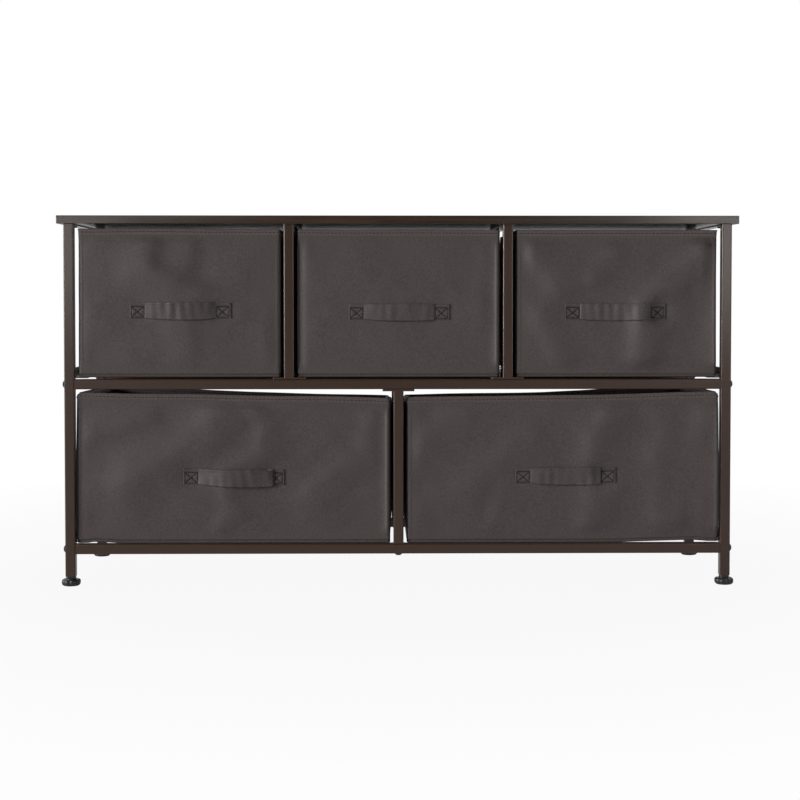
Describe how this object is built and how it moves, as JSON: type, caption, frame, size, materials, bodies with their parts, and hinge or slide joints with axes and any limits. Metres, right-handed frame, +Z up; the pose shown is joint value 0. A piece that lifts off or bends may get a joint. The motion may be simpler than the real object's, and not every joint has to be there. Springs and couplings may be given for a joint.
{
  "type": "chest of drawers",
  "caption": "Wide low chest with pull-out fabric drawers in a bolted square-tube steel frame, a wood-look top board and screw-in levelling feet.",
  "frame": {"origin": "on the floor under the middle of the top board", "axes": "+Z up, -Y towards the front with the handles, +X to the right of someone facing the front"},
  "size_m": [1, 0.305, 0.545],
  "materials": {
    "board_laminate": "dark brown wood-grain laminate on fibreboard",
    "frame_paint": "dark brown satin powder coat",
    "drawer_fabric": "charcoal non-woven fabric, sewn",
    "lining_fabric": "grey-green non-woven lining",
    "panel_board": "raw grey board, inside the fabric",
    "black_plastic": "black moulded plastic",
    "black_bolt": "black oxide bolts and screws",
    "plated_steel": "zinc plated"
  },
  "bodies": {
    "frame": {"divider_bolts": "plated_steel", "frame_bolts": "black_bolt", "front_bottom_rail": "frame_paint", "front_mid_rail": "frame_paint", "leg_front_left": "frame_paint", "leg_front_right": "frame_paint", "leg_rear_left": "frame_paint", "leg_rear_right": "frame_paint", "leg_sleeves": "black_plastic", "lower_post_front": "frame_paint", "lower_post_rear": "frame_paint", "pan_screws": "black_bolt", "post_head_plates": "frame_paint", "post_runners": "frame_paint", "rear_bottom_rail": "frame_paint", "rear_mid_rail": "frame_paint", "side_runner_bottom_left": "frame_paint", "side_runner_bottom_right": "frame_paint", "side_runner_mid_left": "frame_paint", "side_runner_mid_right": "frame_paint", "top_board": "board_laminate", "top_straps": "frame_paint", "tube_plugs": "black_plastic", "upper_post_front_left": "frame_paint", "upper_post_front_right": "frame_paint", "upper_post_rear_left": "frame_paint", "upper_post_rear_right": "frame_paint"},
    "drawer_top_left": {"drawer_top_left_skin": "drawer_fabric", "drawer_top_left_panels": "panel_board", "drawer_top_left_lining": "lining_fabric", "drawer_top_left_base": "panel_board", "drawer_top_left_handle": "drawer_fabric"},
    "drawer_top_middle": {"drawer_top_middle_skin": "drawer_fabric", "drawer_top_middle_panels": "panel_board", "drawer_top_middle_lining": "lining_fabric", "drawer_top_middle_base": "panel_board", "drawer_top_middle_handle": "drawer_fabric"},
    "drawer_top_right": {"drawer_top_right_skin": "drawer_fabric", "drawer_top_right_panels": "panel_board", "drawer_top_right_lining": "lining_fabric", "drawer_top_right_base": "panel_board", "drawer_top_right_handle": "drawer_fabric"},
    "drawer_bottom_left": {"drawer_bottom_left_skin": "drawer_fabric", "drawer_bottom_left_panels": "panel_board", "drawer_bottom_left_lining": "lining_fabric", "drawer_bottom_left_base": "panel_board", "drawer_bottom_left_handle": "drawer_fabric"},
    "drawer_bottom_right": {"drawer_bottom_right_skin": "drawer_fabric", "drawer_bottom_right_panels": "panel_board", "drawer_bottom_right_lining": "lining_fabric", "drawer_bottom_right_base": "panel_board", "drawer_bottom_right_handle": "drawer_fabric"},
    "foot_front_left": {"foot_pad_front_left": "black_plastic", "foot_stud_front_left": "plated_steel"},
    "foot_rear_left": {"foot_pad_rear_left": "black_plastic", "foot_stud_rear_left": "plated_steel"},
    "foot_front_right": {"foot_pad_front_right": "black_plastic", "foot_stud_front_right": "plated_steel"},
    "foot_rear_right": {"foot_pad_rear_right": "black_plastic", "foot_stud_rear_right": "plated_steel"}
  },
  "joints": [
    {"name": "drawer_top_left_slide", "type": "slide", "parent": "frame", "child": "drawer_top_left", "axis": [0, -1, 0], "range_m": [0, 0.21]},
    {"name": "drawer_top_middle_slide", "type": "slide", "parent": "frame", "child": "drawer_top_middle", "axis": [0, -1, 0], "range_m": [0, 0.21]},
    {"name": "drawer_top_right_slide", "type": "slide", "parent": "frame", "child": "drawer_top_right", "axis": [0, -1, 0], "range_m": [0, 0.21]},
    {"name": "drawer_bottom_left_slide", "type": "slide", "parent": "frame", "child": "drawer_bottom_left", "axis": [0, -1, 0], "range_m": [0, 0.21]},
    {"name": "drawer_bottom_right_slide", "type": "slide", "parent": "frame", "child": "drawer_bottom_right", "axis": [0, -1, 0], "range_m": [0, 0.21]},
    {"name": "foot_front_left_turn", "type": "hinge", "parent": "frame", "child": "foot_front_left", "pos_m": [-0.4835, -0.1385, 0], "axis": [0, 0, 1], "continuous": true},
    {"name": "foot_rear_left_turn", "type": "hinge", "parent": "frame", "child": "foot_rear_left", "pos_m": [-0.4835, 0.1385, 0], "axis": [0, 0, 1], "continuous": true},
    {"name": "foot_front_right_turn", "type": "hinge", "parent": "frame", "child": "foot_front_right", "pos_m": [0.4835, -0.1385, 0], "axis": [0, 0, 1], "continuous": true},
    {"name": "foot_rear_right_turn", "type": "hinge", "parent": "frame", "child": "foot_rear_right", "pos_m": [0.4835, 0.1385, 0], "axis": [0, 0, 1], "continuous": true}
  ]
}
